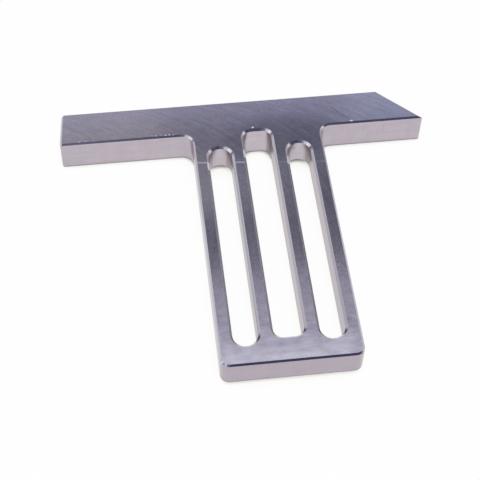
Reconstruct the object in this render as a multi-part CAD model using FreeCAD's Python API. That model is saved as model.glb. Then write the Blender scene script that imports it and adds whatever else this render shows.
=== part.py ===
import FreeCAD, Part
import math
import os

# A T-shaped plate milled from one aluminium bar. A crossbar lies along X, and a thinner
# stem with three long slots runs forward from it along -Y. Sizes are in millimetres.
#
# The plan is drawn from the crossbar's front left corner: its front face is at Y = 0 and
# its underside at Z = 0. The finished part is then moved sideways, so that the origin is
# in the middle of its footprint, at the height of the crossbar's underside. +Z is up.

# Crossbar. Its length is along the front edge, from corner to corner.
BAR_LENGTH = 130.0
BAR_DEPTH = 14.5
BAR_THICKNESS = 12.0
LEFT_END_ANGLE = 4.3        # degrees off square, which sets the back corner in
RIGHT_END_ANGLE = 45.0      # degrees off square: this end is a mitre
BACK_LEFT_RADIUS = 1.4
FRONT_LEFT_RADIUS = 0.8
BACK_RIGHT_RADIUS = 0.8
MITRE_TIP_RADIUS = 0.0      # the mitre's tip is left sharp

# Stem. Its top is flush with the crossbar's, and it is relieved underneath.
LEFT_ARM = 46.8             # from the crossbar's front left corner to the stem's side
STEM_LENGTH = 96.0          # from the crossbar's front face to the stem's end
UNDERSIDE_RELIEF = 2.0      # how much thinner the stem is than the crossbar
INNER_FILLET = 4.0          # where the crossbar's front face meets the stem's sides
STEM_END_RADIUS = 3.0

# Slots. The four ribs beside and between them are equally wide.
RIB_WIDTH = 4.85
OUTER_SLOT_WIDTH = 8.2      # both ends are full rounds
CENTRE_SLOT_WIDTH = 10.0
CENTRE_SLOT_CORNER = 3.2    # both ends are flat, with rounded corners
OUTER_SLOT_START = 7.0      # from the crossbar's front face to the slot's back end
CENTRE_SLOT_START = 0.0     # its back wall lies in the plane of that front face
OUTER_SLOT_END_WALL = 7.2   # from the slot's front end to the stem's end
CENTRE_SLOT_END_WALL = 9.2

# Edge breaks, all at 45 degrees
TOP_CHAMFER = 0.6
UNDER_CHAMFER = 0.15
SLOT_TOP_CHAMFER = 0.8
SLOT_UNDER_CHAMFER = 0.5

# Places that follow from the sizes above
STEM_WIDTH = 4 * RIB_WIDTH + 2 * OUTER_SLOT_WIDTH + CENTRE_SLOT_WIDTH
STEM_LEFT_X = LEFT_ARM
STEM_RIGHT_X = STEM_LEFT_X + STEM_WIDTH
STEM_END_Y = -STEM_LENGTH
SHOULDER_Y = -INNER_FILLET  # the relief starts where the fillets end
STEM_UNDERSIDE_Z = UNDERSIDE_RELIEF

OVERSHOOT = 1.0             # how far a cutting tool runs past the stock
TOLERANCE = 1e-6


def rounded_wire(corners, z):
    """Closed wire at height z through (x, y, radius) corners. A radius of 0 is a sharp corner."""
    points = [FreeCAD.Vector(x, y, z) for x, y, radius in corners]
    arcs = []
    for index, here in enumerate(points):
        radius = corners[index][2]
        to_previous = (points[index - 1] - here).normalize()
        to_next = (points[(index + 1) % len(points)] - here).normalize()
        half_angle = to_previous.getAngle(to_next) / 2
        to_centre = (to_previous + to_next).normalize()
        start = here + to_previous * (radius / math.tan(half_angle))
        middle = here + to_centre * (radius / math.sin(half_angle) - radius)
        end = here + to_next * (radius / math.tan(half_angle))
        arcs.append((start, middle, end))
    edges = []
    for index, (start, middle, end) in enumerate(arcs):
        next_start = arcs[(index + 1) % len(arcs)][0]
        if corners[index][2] > 0:
            edges.append(Part.Arc(start, middle, end).toShape())
        if end.distanceToPoint(next_start) > TOLERANCE:
            edges.append(Part.LineSegment(end, next_start).toShape())
    return Part.Wire(edges)


def prism(corners, bottom, top):
    """Upright solid with a rounded outline, from height bottom to height top."""
    face = Part.Face(rounded_wire(corners, bottom))
    return face.extrude(FreeCAD.Vector(0, 0, top - bottom))


def level_edges(shape, z, low_y, high_y):
    """Edges that lie wholly at height z, between two Y values."""
    found = []
    for edge in shape.Edges:
        box = edge.BoundBox
        is_level = abs(box.ZMin - z) < TOLERANCE and abs(box.ZMax - z) < TOLERANCE
        is_between = box.YMin > low_y - TOLERANCE and box.YMax < high_y + TOLERANCE
        if is_level and is_between:
            found.append(edge)
    return found


def outline_corners():
    """The T seen from above, anticlockwise from the back left corner."""
    left_set_in = BAR_DEPTH * math.tan(math.radians(LEFT_END_ANGLE))
    right_set_in = BAR_DEPTH * math.tan(math.radians(RIGHT_END_ANGLE))
    return [
        (left_set_in, BAR_DEPTH, BACK_LEFT_RADIUS),
        (0, 0, FRONT_LEFT_RADIUS),
        (STEM_LEFT_X, 0, INNER_FILLET),
        (STEM_LEFT_X, STEM_END_Y, STEM_END_RADIUS),
        (STEM_RIGHT_X, STEM_END_Y, STEM_END_RADIUS),
        (STEM_RIGHT_X, 0, INNER_FILLET),
        (BAR_LENGTH, 0, MITRE_TIP_RADIUS),
        (BAR_LENGTH - right_set_in, BAR_DEPTH, BACK_RIGHT_RADIUS),
    ]


def tee_blank():
    """The T at full thickness, standing on Z = 0."""
    return prism(outline_corners(), 0, BAR_THICKNESS)


def relief_cutter():
    """Block that takes the stem's underside away, as far back as the shoulder."""
    corner = FreeCAD.Vector(STEM_LEFT_X - OVERSHOOT, STEM_END_Y - OVERSHOOT, -OVERSHOOT)
    width = STEM_WIDTH + 2 * OVERSHOOT
    length = SHOULDER_Y - STEM_END_Y + OVERSHOOT
    height = UNDERSIDE_RELIEF + OVERSHOOT
    return Part.makeBox(width, length, height, corner)


def bar_zone():
    """Block that holds everything from the shoulder back, where the part is full thickness."""
    corner = FreeCAD.Vector(-OVERSHOOT, SHOULDER_Y, -2 * OVERSHOOT)
    width = BAR_LENGTH + 2 * OVERSHOOT
    length = BAR_DEPTH - SHOULDER_Y + OVERSHOOT
    height = BAR_THICKNESS + 4 * OVERSHOOT
    return Part.makeBox(width, length, height, corner)


def break_top_edge(plate):
    """Chamfer round the whole top edge."""
    edges = level_edges(plate, BAR_THICKNESS, STEM_END_Y, BAR_DEPTH)
    return plate.makeChamfer(TOP_CHAMFER, edges)


def break_under_edges(plate):
    """Small chamfer round the underside, at both levels. The shoulder's own edges stay sharp."""
    edges = []
    zones = ((0, SHOULDER_Y, BAR_DEPTH), (STEM_UNDERSIDE_Z, STEM_END_Y, SHOULDER_Y))
    for z, low_y, high_y in zones:
        shoulder = level_edges(plate, z, SHOULDER_Y, SHOULDER_Y)
        for edge in level_edges(plate, z, low_y, high_y):
            if not any(edge.isSame(other) for other in shoulder):
                edges.append(edge)
    return plate.makeChamfer(UNDER_CHAMFER, edges)


def slot_corners(slot, grown):
    """Corners of one slot's outline, moved outward all round by grown."""
    left_x, width, start, end_wall, corner = slot
    low_x = left_x - grown
    high_x = left_x + width + grown
    back_y = -start + grown
    front_y = STEM_END_Y + end_wall - grown
    radius = corner + grown
    return [
        (low_x, back_y, radius),
        (low_x, front_y, radius),
        (high_x, front_y, radius),
        (high_x, back_y, radius),
    ]


def flare(slot, chamfer, face_z, outward):
    """Tool that chamfers a slot's edge in the face at face_z. outward is 1 for up, -1 for down."""
    narrow = rounded_wire(slot_corners(slot, 0), face_z - outward * chamfer)
    wide = rounded_wire(slot_corners(slot, chamfer + OVERSHOOT), face_z + outward * OVERSHOOT)
    return Part.makeLoft([narrow, wide], True, True)


def slot_cutter(slot):
    """One slot through the whole plate, with its upper and lower edges chamfered."""
    through = prism(slot_corners(slot, 0), -OVERSHOOT, BAR_THICKNESS + OVERSHOOT)
    upper = flare(slot, SLOT_TOP_CHAMFER, BAR_THICKNESS, 1)
    lower_at_bar = flare(slot, SLOT_UNDER_CHAMFER, 0, -1)
    lower_at_stem = flare(slot, SLOT_UNDER_CHAMFER, STEM_UNDERSIDE_Z, -1).cut(bar_zone())
    return through.multiFuse([upper, lower_at_bar, lower_at_stem])


def slots():
    """Left x, width, start, end wall and corner radius of each slot, from left to right."""
    first_x = STEM_LEFT_X + RIB_WIDTH
    centre_x = first_x + OUTER_SLOT_WIDTH + RIB_WIDTH
    last_x = centre_x + CENTRE_SLOT_WIDTH + RIB_WIDTH
    outer = (OUTER_SLOT_WIDTH, OUTER_SLOT_START, OUTER_SLOT_END_WALL, OUTER_SLOT_WIDTH / 2)
    centre = (CENTRE_SLOT_WIDTH, CENTRE_SLOT_START, CENTRE_SLOT_END_WALL, CENTRE_SLOT_CORNER)
    return [(first_x, *outer), (centre_x, *centre), (last_x, *outer)]


def centred(plate):
    """The plate with the middle of its footprint over the origin."""
    middle = plate.BoundBox.Center
    return plate.translated(FreeCAD.Vector(-middle.x, -middle.y, 0))


def slotted_tee_plate():
    """The whole part, one solid."""
    plate = break_top_edge(tee_blank())
    plate = break_under_edges(plate.cut(relief_cutter()))
    for slot in slots():
        plate = plate.cut(slot_cutter(slot))
    return centred(plate.removeSplitter().Solids[0])


os.makedirs("parts", exist_ok=True)
slotted_tee_plate().exportStep("parts/slotted_tee_plate.step")
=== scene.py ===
import math

import bpy
from mathutils import Matrix, Vector


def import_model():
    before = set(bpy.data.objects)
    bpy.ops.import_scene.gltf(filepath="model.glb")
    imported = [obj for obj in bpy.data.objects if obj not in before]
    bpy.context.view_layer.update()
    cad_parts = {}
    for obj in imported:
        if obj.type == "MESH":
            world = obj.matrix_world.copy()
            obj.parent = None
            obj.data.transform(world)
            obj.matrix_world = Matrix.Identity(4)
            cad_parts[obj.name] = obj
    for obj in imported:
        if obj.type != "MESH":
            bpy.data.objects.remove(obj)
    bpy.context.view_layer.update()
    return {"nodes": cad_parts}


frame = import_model()

PLATE = "slotted_tee_plate"
MM = 0.001

# Camera, in the row frame and in metres. The lens is for a sensor 36 mm wide, and the roll is
# in degrees.
CAMERA_AT = Vector((-39.31, -251.66, 343.06)) * MM
CAMERA_TARGET = Vector((-6.67, -7.25, 12.0)) * MM
CAMERA_ROLL = -1.241
CAMERA_LENS = 93.09
CAMERA_SENSOR = 36.0
CAMERA_CLIP = (0.01, 50.0)

# Floor, in metres
FLOOR_RADIUS = 6.0
FLOOR_COLOUR = (0.88, 0.88, 0.88)   # its own colour, which throws light onto the part
FLOOR_WHITE = (1.0, 1.0, 1.0)       # the white that the camera and reflections see
SHADE_WHITE = (0.98, 0.97, 0.91)    # the same close to the part, a little warm
FLOOR_WHITE_SHARE = 0.975           # share of that white. The rest is the floor's own colour
SHADE_WHITE_SHARE = 0.90            # the same close to the part
SHADE_REACH = 0.006                 # how far round a floor point counts as close cover
CONTACT_REACH = 0.003               # the same for the dark line under the part's edges
SHADE_OPENNESS = (0.20, 0.75)       # how open a floor point is, from full shade to none
CONTACT_OPENNESS = (0.28, 0.66)     # the same for the dark line
OPENNESS_SAMPLES = 8

# Soft lamps, in metres: name, centre, point it faces, width and height, brightness of its face
# in red, green and blue, where 1 is as bright as white
LAMPS = [
    ("overhead_softbox", (0.05, 0.045, 0.50), (0.05, 0.045, 0.0),
     (0.80, 0.41), (0.73, 0.73, 0.75)),
    ("overhead_edge", (0.05, 0.285, 0.50), (0.05, 0.285, 0.0),
     (0.80, 0.07), (0.29, 0.26, 0.30)),
    ("back_panel", (0.05, 0.70, 0.36), (0.05, 0.0, 0.36),
     (1.10, 0.42), (0.42, 0.42, 0.54)),
    ("back_panel_top", (0.05, 0.70, 0.645), (0.05, 0.0, 0.645),
     (1.10, 0.15), (0.45, 0.46, 0.55)),
    ("back_left_panel", (-0.26, 0.70, 0.79), (-0.26, 0.0, 0.79),
     (0.50, 0.16), (0.26, 0.23, 0.18)),
    ("back_left_step", (0.035, 0.70, 0.77), (0.035, 0.0, 0.77),
     (0.09, 0.12), (0.06, 0.05, 0.04)),
    ("back_right_panel", (0.42, 0.70, 0.77), (0.42, 0.0, 0.77),
     (0.44, 0.12), (0.23, 0.26, 0.31)),
    ("back_high_panel", (0.04, 0.70, 0.85), (0.04, 0.0, 0.85),
     (0.22, 0.10), (0.16, 0.16, 0.17)),
    ("front_top_softbox", (0.0, -0.34, 0.84), (0.0, 0.0, 0.0),
     (1.40, 0.34), (1.70, 1.70, 1.70)),
    ("left_top_softbox", (-0.78, 0.0, 0.62), (0.0, 0.0, 0.0),
     (0.45, 0.90), (1.20, 1.20, 1.20)),
    ("right_top_softbox", (0.82, 0.0, 0.62), (0.0, 0.0, 0.0),
     (0.45, 0.90), (1.20, 1.20, 1.20)),
    ("left_front_panel", (-0.65, -0.46, 0.52), (0.0, 0.0, 0.01),
     (0.70, 0.30), (0.90, 0.90, 0.90)),
    ("front_left_glow", (-0.37, -0.80, 0.60), (-0.37, 0.0, 0.60),
     (0.64, 0.30), (0.23, 0.23, 0.27)),
]

# The room around it: height above the horizon (sine of the angle) and colour
ROOM = [
    (0.00, (1.00, 1.00, 1.00)),
    (0.12, (0.95, 0.95, 0.95)),
    (0.24, (0.40, 0.40, 0.42)),
    (0.36, (0.06, 0.06, 0.13)),
    (0.66, (0.04, 0.04, 0.11)),
    (0.76, (0.148, 0.145, 0.175)),
    (1.00, (0.24, 0.24, 0.26)),
]

# Colours of the metal
TOP_DARK = (0.42, 0.41, 0.495)
TOP_LIGHT = (0.75, 0.73, 0.83)
WALL_DARK = (0.425, 0.38, 0.425)
WALL_LIGHT = (0.56, 0.50, 0.56)
BEVEL_COLOUR = (0.60, 0.57, 0.62)
# Colour of the bright marks and of the painted highlights: the glints on the bevels, the burrs'
# glints and the pale reflection on the top
BRIGHT_MARK_AND_HIGHLIGHT_COLOUR = (0.95, 0.94, 0.95)
# Dark colour of the scratch, and of the painted shade along the walls' foot and at the slots'
# round ends
SCRATCH_AND_SHADE_COLOUR = (0.16, 0.13, 0.12)
OIL_COLOUR = (0.42, 0.35, 0.20)
# Colour of the painted dark reflection on the top
DARK_REFLECTION_COLOUR = (0.22, 0.22, 0.28)
# Colour of the painted shade on the slots' side walls and the stem's end
SHADED_WALL_COLOUR = (0.34, 0.29, 0.34)
MIDDLE = 0.5                        # halfway between the dark and the light colour

# From here on, places and widths are in millimetres, in the part's frame. A range is two values
# of what it goes by and then, if they aren't 0 and 1, the result at each of them.
FLAT_TILT = (0.85, 0.95)            # by the upright part of the normal
SLOPED_TILT = (0.30, 0.50)
STEM_MIDDLE_X = 4.67
SLOTS_HALF_WIDTH = (20.0, 0.2)      # from the stem's middle, and how softly it ends
SLOTS_FRONT = (-52.0, -50.0)        # by Y

# Marks of the face mill, which travelled along X. Each is an arc of its rim. Towards the stem's
# end the arcs fade and the face turns cloudy.
CUTTER_RADIUS = 63.0
CUTTER_LINE_Y = -4.0
ARCS_ALONG_Y = (-44.0, -18.0, 0.20, 1.0)
CLOUDS_ALONG_Y = (-46.0, -24.0, 1.0, 0.28)

# Stretched noise: how fast it changes along its three axes, its detail and its strength
FINE_ARCS = ((2.6, 0.12, 1.0), 3.0, 0.60)
BROAD_ARCS = ((0.45, 0.05, 1.0), 2.0, 0.38)
TRAILING_ARCS = ((2.0, 0.10, 1.0), 2.0, 0.22)
CLOUDS = ((0.18, 0.42, 1.0), 5.0, 1.60)
UPRIGHT_MARKS = ((1.3, 1.3, 0.05), 3.0, 0.40)
LEVEL_STREAKS = ((0.06, 0.06, 0.9), 2.0, 0.50)

# Even noise: its scale, detail and strength
GRAIN = (0.9, 3.0, 0.50)
SPECKLE = (1.7, 1.0, 1.0)
WALL_CLOUD = (0.22, 4.0, 0.70)
BURR_GRAIN = (1.6, 1.0)             # scale and detail only
SPECKLE_ON_CROSSBAR = (34.0, 38.0, 0.90, 0.50)
SPECKLE_AT_STEM_END = (-42.0, -25.0, 0.35, 1.0)

# Spots: centre, radii and strength
SPOT_FALL = (0.15, 1.0, 1.0, 0.0)   # by the square of the distance, in radii
SMUDGE = ((24.4, -43.5), (3.2, 3.2), -0.35)
DARK_END_CORNER = ((27.5, -53.0), (6.0, 5.0), -0.20)
# Painted reflections on the top: a dark one, and a pale one whose edge wavers with the clouds
DARK_REFLECTION_ZONE = ((14.0, 36.0), (26.0, 13.0), 0.30)
PALE_REFLECTION_ZONE = ((-19.0, 19.0), (11.0, 18.0), 0.30)
PALE_REFLECTION_WAVER = 12.0
OIL_DROP = ((17.6, 8.6), (0.8, 0.7), 0.6)       # in X and Z
OIL_DEPTH = (30.0, 32.0)                        # by Y: it is on the crossbar's front wall

# Walls, with a painted sheen on the slots' back walls and painted shade on the slots' side walls
# and the stem's end
BACK_WALL_FACING = (-0.60, -1.0)    # by how far the wall faces along Y
BACK_WALL_PAINTED_SHEEN = 0.30
SIDE_WALL_FACING = (0.80, 0.95)     # by how far the wall faces along X, either way
SIDE_WALL_SHADE = 0.90
STEM_END_SHADE = (-51.0, -53.5, 0.0, 0.35)
# Painted shade: a dark line along the walls' foot, which follows the relieved underside, and dark
# streaks where the slots' round ends begin
UNDERSIDE_ALONG_Y = (36.70, 36.80, 2.0, 0.0)    # the stem is relieved underneath
BOTTOM_LINE = (0.25, 0.85, 0.45, 0.0)           # by height above the underside
STREAK_FACING = (0.80, 0.05, 0.25)              # middle, half width and softness
STREAK_ALONG_Y = (28.0, 30.0)
STREAK_MARKS = (-0.10, 0.05)        # by the upright marks
STREAK_STRENGTH = 0.60

# Bevels: share of the top's dark colour, and how much of the grain is added to it
BEVEL_SHADE = 0.21
BEVEL_GRAIN = 0.72

# Raised line across the ribs, where two passes of the cutter meet
WITNESS_Y = 26.13                   # at the part's middle
WITNESS_SLOPE = 0.087
WITNESS_WIDTH = (0.20, 0.30)        # half width and softness, as for the scratch and the burrs
WITNESS_ALONG_X = (-2.0, 16.0, 1.0, 0.25)
WITNESS_GRAIN = (-0.10, 0.04, 0.35, 1.0)
WITNESS_STRENGTH = 0.40

# Curved scratch on the right arm
SCRATCH_START = (39.0, 42.0)
SCRATCH_SLOPE = -1.05
SCRATCH_BEND = 0.03
SCRATCH_WIDTH = (0.08, 0.18)
SCRATCH_ALONG_Y = (45.5, 3.2, 0.8)  # middle, half width and softness
SCRATCH_STRENGTH = 0.55

# Bright specks of burr, painted as bright as a highlight on them. Middle, half width and
# softness, and spots on their own.
BURR_ROW_Y = (41.50, 0.20, 0.20)
BURR_GROUPS_X = ((-55.5, 3.0, 1.0), (-28.5, 3.5, 1.5))
BURR_COVER = (0.52, 0.62)           # by the burrs' own grain
BURR_SPECKS = (((3.6, 42.0), (0.55, 0.50)), ((39.2, 41.6), (0.70, 0.50)))

# Painted glints: bright slivers on the slots' right bevels, beside the places where the slots'
# back ends turn
OUTER_SLIVER_Y = 26.0
CENTRE_SLIVER_Y = 30.4
CENTRE_SLOT_WIDTH = (6.3, 0.2)
SLIVER_FACING = (0.50, 0.60)        # by how far the bevel faces along X
SLIVER_LENGTH = (1.5, 0.5)

# Sharp edges, worn bright. The radius is in metres.
WEAR_RADIUS = 0.00025
WEAR_SAMPLES = 4
WEAR_LIKENESS = (0.90, 0.995, 1.0, 0.0)         # by likeness of the rounded and true normals
WEAR_BY_GRAIN = (-0.12, 0.12, 0.05, 0.45)

# Roughness, and how far the marks change it
TOP_ROUGHNESS = 0.125
WALL_ROUGHNESS = 0.26
BRIGHT_MARK_AND_HIGHLIGHT_ROUGHNESS = 0.70
BEVEL_ROUGHNESS = (0.40, 0.65, 0.20, 0.42)      # by how far the bevel faces along X
BROAD_TO_ROUGHNESS = 0.08
CLOUD_TO_ROUGHNESS = 0.05
UPRIGHT_TO_ROUGHNESS = 0.15

# Fine relief of the cutter's marks: its depth in metres, and each mark's share
RELIEF_DEPTH = 0.000012
TRAILING_RELIEF = 0.8
BROAD_RELIEF = 0.5
UPRIGHT_RELIEF = 0.8

# Sockets of a mix node, which has several of the same name
MIX_FACTOR = 0
MIX_NUMBERS = (2, 3)
MIX_COLOURS = (6, 7)
MIX_NUMBER_OUT = 0
MIX_COLOUR_OUT = 2


class Tree:
    """Adds nodes to a node tree and links them. A value is a socket or a plain number."""

    def __init__(self, tree):
        self.tree = tree
        tree.nodes.clear()

    def node(self, kind, **settings):
        made = self.tree.nodes.new(kind)
        for name, value in settings.items():
            setattr(made, name, value)
        return made

    def put(self, value, socket):
        if isinstance(value, bpy.types.NodeSocket):
            self.tree.links.new(value, socket)
        else:
            socket.default_value = value

    def math(self, operation, *values, clamp=False):
        made = self.node("ShaderNodeMath", operation=operation, use_clamp=clamp)
        for value, socket in zip(values, made.inputs):
            self.put(value, socket)
        return made.outputs[0]

    def chain(self, operation, values):
        """The same operation over all the values, from left to right."""
        result = values[0]
        for value in values[1:]:
            result = self.math(operation, result, value)
        return result

    def total(self, *values):
        return self.chain("ADD", values)

    def product(self, *values):
        return self.chain("MULTIPLY", values)

    def greatest(self, *values):
        return self.chain("MAXIMUM", values)

    def minus(self, a, b):
        return self.math("SUBTRACT", a, b)

    def unsigned(self, value):
        return self.math("ABSOLUTE", value)

    def clamped(self, value):
        """The value, kept within 0 and 1."""
        return self.math("ADD", value, 0.0, clamp=True)

    def scaled(self, vector, factor):
        made = self.node("ShaderNodeVectorMath", operation="SCALE")
        self.put(vector, made.inputs[0])
        self.put(factor, made.inputs["Scale"])
        return made.outputs["Vector"]

    def dot(self, a, b):
        made = self.node("ShaderNodeVectorMath", operation="DOT_PRODUCT")
        self.put(a, made.inputs[0])
        self.put(b, made.inputs[1])
        return made.outputs["Value"]

    def split(self, vector):
        made = self.node("ShaderNodeSeparateXYZ")
        self.put(vector, made.inputs[0])
        return made.outputs

    def join(self, x, y, z):
        made = self.node("ShaderNodeCombineXYZ")
        for value, socket in zip((x, y, z), made.inputs):
            self.put(value, socket)
        return made.outputs[0]

    def noise(self, vector, scale, detail):
        made = self.node("ShaderNodeTexNoise")
        self.put(vector, made.inputs["Vector"])
        self.put(scale, made.inputs["Scale"])
        self.put(detail, made.inputs["Detail"])
        return made.outputs[0]

    def spread(self, value, low, high, to_low=0.0, to_high=1.0):
        """Maps low..high to to_low..to_high, smoothly and clamped."""
        made = self.node("ShaderNodeMapRange", interpolation_type="SMOOTHSTEP")
        for number, socket in zip((value, low, high, to_low, to_high), made.inputs):
            self.put(number, socket)
        return made.outputs[0]

    def mix(self, factor, a, b):
        """Colour from a to b, each a socket or a plain red, green and blue."""
        made = self.node("ShaderNodeMix", data_type="RGBA")
        self.put(factor, made.inputs[MIX_FACTOR])
        for value, index in zip((a, b), MIX_COLOURS):
            is_socket = isinstance(value, bpy.types.NodeSocket)
            self.put(value if is_socket else (*value, 1.0), made.inputs[index])
        return made.outputs[MIX_COLOUR_OUT]

    def mix_number(self, factor, a, b):
        made = self.node("ShaderNodeMix", data_type="FLOAT")
        self.put(factor, made.inputs[MIX_FACTOR])
        for value, index in zip((a, b), MIX_NUMBERS):
            self.put(value, made.inputs[index])
        return made.outputs[MIX_NUMBER_OUT]


def position_mm(t):
    """Place on the part, in millimetres."""
    return t.scaled(t.node("ShaderNodeTexCoord").outputs["Object"], 1.0 / MM)


def band(t, value, centre, half_width, soft):
    """1 within half_width of centre, falling to 0 over soft."""
    away = t.unsigned(t.minus(value, centre))
    return t.spread(away, half_width, half_width + soft, 1.0, 0.0)


def centred_noise(t, vector, scale, detail, strength):
    """Noise moved to lie about 0, times strength."""
    return t.product(t.minus(t.noise(vector, scale, detail), 0.5), strength)


def pattern(t, axes, rates, detail, strength):
    """Noise about 0, stretched by how fast it changes along each of the three axes."""
    place = t.join(*[t.product(axis, rate) for axis, rate in zip(axes, rates)])
    return centred_noise(t, place, 1.0, detail, strength)


def spot(t, x, y, centre, radii, strength=1.0):
    """Its strength in the middle of an ellipse, falling to 0 at its rim."""
    across = t.math("DIVIDE", t.minus(x, centre[0]), radii[0])
    along = t.math("DIVIDE", t.minus(y, centre[1]), radii[1])
    square = t.total(t.product(across, across), t.product(along, along))
    return t.product(t.spread(square, *SPOT_FALL), strength)


def mill_arcs(t, x, y):
    """Two numbers, for the cutter's leading and trailing rim. Each is the same along an arc."""
    across = t.minus(y, CUTTER_LINE_Y)
    rest = t.minus(CUTTER_RADIUS ** 2, t.product(across, across))
    half_chord = t.math("SQRT", t.greatest(rest, 0.0))
    return t.minus(x, half_chord), t.total(x, half_chord)


class Surface:
    """What the looks of the metal go by: place, facing, masks from 0 to 1, and tool marks."""

    def __init__(self, t):
        self.place = position_mm(t)
        self.x, self.y, self.z = t.split(self.place)
        normal = t.node("ShaderNodeTexCoord").outputs["Normal"]
        self.facing_x, self.facing_y, facing_z = t.split(normal)

        # Level faces, bevels, and all that lies between the stem's side walls, behind its end
        tilt = t.unsigned(facing_z)
        self.flat = t.spread(tilt, *FLAT_TILT)
        self.bevel = t.product(t.spread(tilt, *SLOPED_TILT), t.minus(1.0, self.flat))
        between_sides = band(t, self.x, STEM_MIDDLE_X, *SLOTS_HALF_WIDTH)
        self.in_slots = t.product(between_sides, t.spread(self.y, *SLOTS_FRONT))

        # Marks of the face mill, marks on the walls, and grain everywhere
        axes = (self.x, self.y, self.z)
        leading, trailing = mill_arcs(t, self.x, self.y)
        leading_axes = (leading, self.y, self.z)
        trailing_axes = (trailing, self.y, self.z)
        arcs = t.spread(self.y, *ARCS_ALONG_Y)
        self.fine = t.product(pattern(t, leading_axes, *FINE_ARCS), arcs)
        self.broad = t.product(pattern(t, leading_axes, *BROAD_ARCS), arcs)
        self.trailing = t.product(pattern(t, trailing_axes, *TRAILING_ARCS), arcs)
        self.cloud = t.product(pattern(t, axes, *CLOUDS), t.spread(self.y, *CLOUDS_ALONG_Y))
        self.upright = pattern(t, axes, *UPRIGHT_MARKS)
        self.level = pattern(t, axes, *LEVEL_STREAKS)
        self.grain = centred_noise(t, self.place, *GRAIN)


def top_colour(t, s):
    """Level faces, with the cutter's arcs, a painted dark reflection and a paler painted
    reflection.
    """
    calm = t.product(t.spread(s.y, *SPECKLE_ON_CROSSBAR), t.spread(s.y, *SPECKLE_AT_STEM_END))
    speckle = t.product(centred_noise(t, s.place, *SPECKLE), calm)
    smudge = spot(t, s.x, s.y, *SMUDGE)
    end_corner = spot(t, s.x, s.y, *DARK_END_CORNER)
    value = t.total(MIDDLE, s.fine, s.broad, s.trailing, s.cloud, speckle, smudge, end_corner)
    colour = t.mix(t.clamped(value), TOP_DARK, TOP_LIGHT)
    dark_reflection = spot(t, t.total(s.x, s.broad), t.total(s.y, s.broad), *DARK_REFLECTION_ZONE)
    colour = t.mix(dark_reflection, colour, DARK_REFLECTION_COLOUR)
    # Painted pale reflection, whose edge wavers with the clouds
    wavering_y = t.total(s.y, t.product(s.cloud, PALE_REFLECTION_WAVER))
    return t.mix(spot(t, s.x, wavering_y, *PALE_REFLECTION_ZONE), colour, BRIGHT_MARK_AND_HIGHLIGHT_COLOUR)


def wall_colour(t, s):
    """Walls, paler with a painted sheen at the slots' back ends, darker with painted shade at the
    slots' sides and the stem's end.
    """
    cloud = centred_noise(t, s.place, *WALL_CLOUD)
    back_wall_sheen = t.product(s.in_slots, t.spread(s.facing_y, *BACK_WALL_FACING), BACK_WALL_PAINTED_SHEEN)
    value = t.total(MIDDLE, s.upright, s.level, cloud, back_wall_sheen)
    colour = t.mix(t.clamped(value), WALL_DARK, WALL_LIGHT)
    sideways = t.spread(t.unsigned(s.facing_x), *SIDE_WALL_FACING)
    side_wall_shade = t.product(s.in_slots, sideways, SIDE_WALL_SHADE)
    stem_end_shade = t.spread(s.y, *STEM_END_SHADE)
    return t.mix(t.greatest(side_wall_shade, stem_end_shade), colour, SHADED_WALL_COLOUR)


def with_painted_shade_and_oil(t, s, colour):
    """A dark line of painted shade along the walls' foot, dark streaks of painted shade where the
    slots' round ends begin, and oil.
    """
    height = t.minus(s.z, t.spread(s.y, *UNDERSIDE_ALONG_Y))
    bottom_line = t.spread(t.total(height, s.grain), *BOTTOM_LINE)
    turning = band(t, t.unsigned(s.facing_x), *STREAK_FACING)
    at_back = t.spread(s.y, *STREAK_ALONG_Y)
    on_marks = t.spread(s.upright, *STREAK_MARKS)
    streaks = t.product(s.in_slots, turning, at_back, on_marks, STREAK_STRENGTH)
    colour = t.mix(t.greatest(bottom_line, streaks), colour, SCRATCH_AND_SHADE_COLOUR)
    oil = t.product(spot(t, s.x, s.z, *OIL_DROP), t.spread(s.y, *OIL_DEPTH))
    return t.mix(oil, colour, OIL_COLOUR)


def bevel_colour(t, s):
    shade = t.clamped(t.total(BEVEL_SHADE, t.product(s.grain, BEVEL_GRAIN)))
    return t.mix(shade, BEVEL_COLOUR, TOP_DARK)


def witness_line(t, s):
    """The raised line across the ribs, fainter to the right and broken up by the grain."""
    line_y = t.minus(WITNESS_Y, t.product(s.x, WITNESS_SLOPE))
    line = band(t, t.minus(s.y, line_y), 0.0, *WITNESS_WIDTH)
    fading = t.spread(s.x, *WITNESS_ALONG_X)
    return t.product(line, fading, t.spread(s.grain, *WITNESS_GRAIN), WITNESS_STRENGTH)


def scratch(t, s):
    """The thin curved scratch on the right arm."""
    start_x, start_y = SCRATCH_START
    back = t.minus(s.y, start_y)
    bend = t.product(back, back, SCRATCH_BEND)
    line_x = t.total(start_x, t.product(back, SCRATCH_SLOPE), bend)
    line = band(t, t.minus(s.x, line_x), 0.0, *SCRATCH_WIDTH)
    return t.product(line, band(t, s.y, *SCRATCH_ALONG_Y), SCRATCH_STRENGTH)


def burrs(t, s):
    """Burr specks along the left arm's front edge and at two other places, painted as bright as a
    highlight on them.
    """
    groups = t.greatest(*[band(t, s.x, *group) for group in BURR_GROUPS_X])
    cover = t.spread(t.noise(s.place, *BURR_GRAIN), *BURR_COVER)
    row = t.product(band(t, s.y, *BURR_ROW_Y), groups, cover)
    return t.greatest(row, *[spot(t, s.x, s.y, *speck) for speck in BURR_SPECKS])


def slivers(t, s):
    """Painted glints: bright slivers on the bevels beside the slots' back ends."""
    at_centre = band(t, s.x, STEM_MIDDLE_X, *CENTRE_SLOT_WIDTH)
    middle_y = t.mix_number(at_centre, OUTER_SLIVER_Y, CENTRE_SLIVER_Y)
    along = band(t, t.minus(s.y, middle_y), 0.0, *SLIVER_LENGTH)
    return t.product(s.bevel, s.in_slots, t.spread(s.facing_x, *SLIVER_FACING), along)


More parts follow.
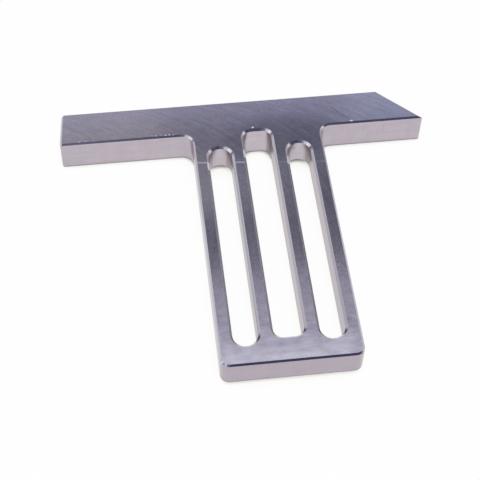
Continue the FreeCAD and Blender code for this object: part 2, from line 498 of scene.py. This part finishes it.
def worn_edges(t, s):
    """The narrow strips beside sharp edges, where wear would round the surface."""
    rounded = t.node("ShaderNodeBevel", samples=WEAR_SAMPLES)
    rounded.inputs["Radius"].default_value = WEAR_RADIUS
    true_normal = t.node("ShaderNodeNewGeometry").outputs["True Normal"]
    likeness = t.dot(rounded.outputs[0], true_normal)
    return t.product(t.spread(likeness, *WEAR_LIKENESS), t.spread(s.grain, *WEAR_BY_GRAIN))


def metal_roughness(t, s, bright):
    top = t.total(TOP_ROUGHNESS, t.product(s.broad, BROAD_TO_ROUGHNESS),
                  t.product(s.cloud, CLOUD_TO_ROUGHNESS))
    wall = t.total(WALL_ROUGHNESS, t.product(s.upright, UPRIGHT_TO_ROUGHNESS))
    bevel = t.spread(s.facing_x, *BEVEL_ROUGHNESS)
    smooth = t.mix_number(s.bevel, t.mix_number(s.flat, wall, top), bevel)
    return t.mix_number(bright, smooth, BRIGHT_MARK_AND_HIGHLIGHT_ROUGHNESS)


def metal_relief(t, s):
    top = t.total(s.fine, t.product(s.trailing, TRAILING_RELIEF),
                  t.product(s.broad, BROAD_RELIEF))
    wall = t.product(s.upright, UPRIGHT_RELIEF)
    bump = t.node("ShaderNodeBump")
    bump.inputs["Strength"].default_value = 1.0
    bump.inputs["Distance"].default_value = RELIEF_DEPTH
    t.put(t.mix_number(s.flat, wall, top), bump.inputs["Height"])
    return bump.outputs[0]


def milled_aluminium():
    material = bpy.data.materials.new("milled_aluminium_detailed")
    material.use_nodes = True
    t = Tree(material.node_tree)
    s = Surface(t)
    walls = with_painted_shade_and_oil(t, s, wall_colour(t, s))
    colour = t.mix(s.flat, walls, top_colour(t, s))
    colour = t.mix(s.bevel, colour, bevel_colour(t, s))
    colour = t.mix(t.product(s.flat, scratch(t, s)), colour, SCRATCH_AND_SHADE_COLOUR)
    marks = t.product(s.flat, t.greatest(witness_line(t, s), burrs(t, s)))
    # The bright marks, and the painted glints on the bevels
    bright = t.greatest(marks, slivers(t, s))
    colour = t.mix(bright, colour, BRIGHT_MARK_AND_HIGHLIGHT_COLOUR)
    colour = t.mix(worn_edges(t, s), colour, BRIGHT_MARK_AND_HIGHLIGHT_COLOUR)

    shader = t.node("ShaderNodeBsdfPrincipled")
    shader.inputs["Metallic"].default_value = 1.0
    t.put(colour, shader.inputs["Base Color"])
    t.put(metal_roughness(t, s, bright), shader.inputs["Roughness"])
    t.put(metal_relief(t, s), shader.inputs["Normal"])
    output = t.node("ShaderNodeOutputMaterial")
    t.put(shader.outputs[0], output.inputs[0])
    return material


def openness(t, reach):
    """How open the floor is within reach, from 0 under full cover to 1."""
    made = t.node("ShaderNodeAmbientOcclusion", samples=OPENNESS_SAMPLES)
    made.inputs["Distance"].default_value = reach
    return made.outputs["AO"]


def pale_floor():
    """A plain floor that is seen as nearly white, with its shadow and shade close to the part."""
    material = bpy.data.materials.new("pale_floor")
    material.use_nodes = True
    t = Tree(material.node_tree)
    path = t.node("ShaderNodeLightPath").outputs
    seen = t.greatest(path["Is Camera Ray"], path["Is Glossy Ray"], path["Is Transmission Ray"])
    out_of_contact = t.spread(openness(t, CONTACT_REACH), *CONTACT_OPENNESS)
    out_of_shade = t.spread(openness(t, SHADE_REACH), *SHADE_OPENNESS)
    white_share = t.mix_number(out_of_shade, SHADE_WHITE_SHARE, FLOOR_WHITE_SHARE)

    diffuse = t.node("ShaderNodeBsdfDiffuse")
    diffuse.inputs["Color"].default_value = (*FLOOR_COLOUR, 1.0)
    white = t.node("ShaderNodeEmission")
    t.put(t.mix(out_of_shade, SHADE_WHITE, FLOOR_WHITE), white.inputs["Color"])
    surface = t.node("ShaderNodeMixShader")
    t.put(t.product(seen, out_of_contact, white_share), surface.inputs[0])
    t.put(diffuse.outputs[0], surface.inputs[1])
    t.put(white.outputs[0], surface.inputs[2])
    output = t.node("ShaderNodeOutputMaterial")
    t.put(surface.outputs[0], output.inputs[0])
    return material


def floor():
    mesh = bpy.data.meshes.new("floor")
    r = FLOOR_RADIUS
    mesh.from_pydata([(-r, -r, 0), (r, -r, 0), (r, r, 0), (-r, r, 0)], [], [(0, 1, 2, 3)])
    mesh.materials.append(pale_floor())
    made = bpy.data.objects.new("floor", mesh)
    bpy.context.scene.collection.objects.link(made)


def world():
    """The room, which shines by height above the horizon."""
    made = bpy.data.worlds.new("soft_room")
    bpy.context.scene.world = made
    made.use_nodes = True
    t = Tree(made.node_tree)
    direction = t.node("ShaderNodeTexCoord").outputs["Generated"]
    glow = t.node("ShaderNodeValToRGB")
    t.put(t.split(direction)[2], glow.inputs[0])
    stops = glow.color_ramp.elements
    while len(stops) < len(ROOM):
        stops.new(0.5)
    for stop, (height, colour) in zip(stops, ROOM):
        stop.position = height
        stop.color = (*colour, 1.0)
    background = t.node("ShaderNodeBackground")
    t.put(glow.outputs[0], background.inputs[0])
    output = t.node("ShaderNodeOutputWorld")
    t.put(background.outputs[0], output.inputs[0])


def lamps():
    """Area lamps. A lamp's power is its face's brightness times pi times its area."""
    for name, at, target, size, brightness in LAMPS:
        light = bpy.data.lights.new(name, "AREA")
        light.shape = "RECTANGLE"
        light.size, light.size_y = size
        strongest = max(brightness)
        light.color = [part / strongest for part in brightness]
        light.energy = strongest * math.pi * size[0] * size[1]
        made = bpy.data.objects.new(name, light)
        made.location = at
        made.rotation_mode = "QUATERNION"
        made.rotation_quaternion = (Vector(target) - Vector(at)).to_track_quat("-Z", "Y")
        made.visible_camera = False
        bpy.context.scene.collection.objects.link(made)


def camera():
    data = bpy.data.cameras.new("camera")
    data.sensor_width = CAMERA_SENSOR
    data.lens = CAMERA_LENS
    data.clip_start, data.clip_end = CAMERA_CLIP
    made = bpy.data.objects.new("camera", data)
    forward = (CAMERA_TARGET - CAMERA_AT).normalized()
    turn = forward.to_track_quat("-Z", "Y").to_matrix()
    roll = Matrix.Rotation(math.radians(CAMERA_ROLL), 3, forward)
    made.matrix_world = Matrix.Translation(CAMERA_AT) @ (roll @ turn).to_4x4()
    bpy.context.scene.collection.objects.link(made)
    bpy.context.scene.camera = made


camera()
floor()
world()
lamps()
plate = frame["nodes"][PLATE]
plate.material_slots[0].material = milled_aluminium()
bpy.context.scene.view_settings.view_transform = "Standard"
